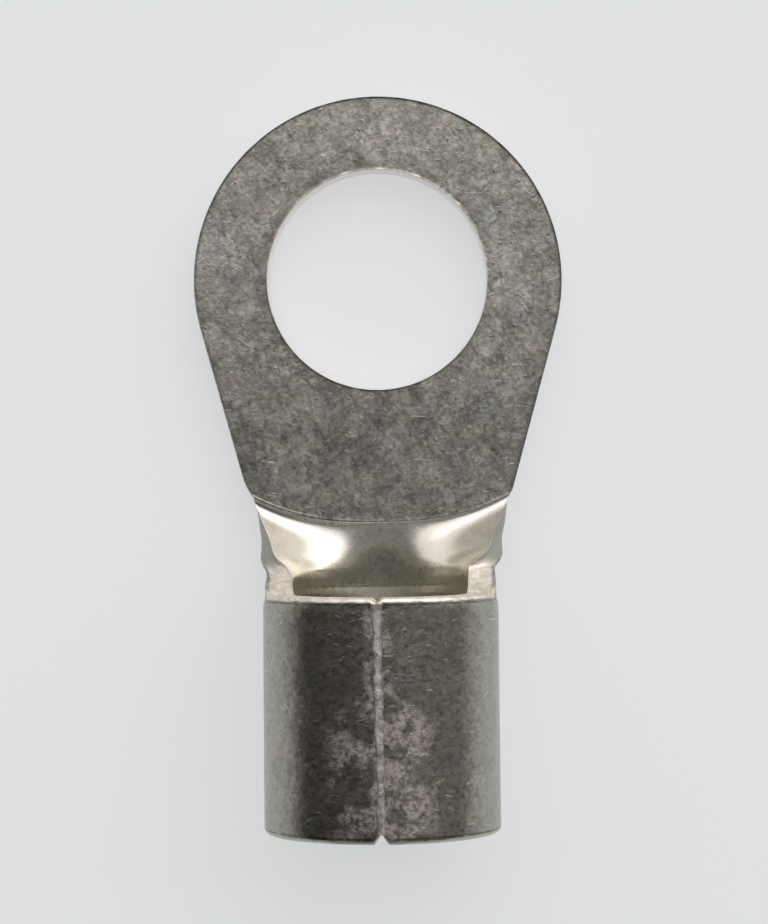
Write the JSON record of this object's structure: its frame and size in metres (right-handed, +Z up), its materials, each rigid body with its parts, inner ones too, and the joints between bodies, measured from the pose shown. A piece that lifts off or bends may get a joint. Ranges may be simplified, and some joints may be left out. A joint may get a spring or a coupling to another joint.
{
  "type": "cable lug",
  "caption": "Ring-tongue cable lug stamped and rolled from tinned copper sheet, with an open spoon-shaped neck and a brazed barrel.",
  "frame": {"origin": "centre of the stud hole on the tongue's contact face, which is the flat underside", "axes": "+Z up along the stud hole, +Y towards the tip of the tongue, so the barrel opens towards -Y"},
  "size_m": [0.0284, 0.0562, 0.0178],
  "materials": {
    "tinned_copper": "dull tin plating on copper, tarnished grey-brown, smoother and brighter inside the neck"
  },
  "bodies": {
    "root": {"lug": "tinned_copper"}
  },
  "joints": []
}
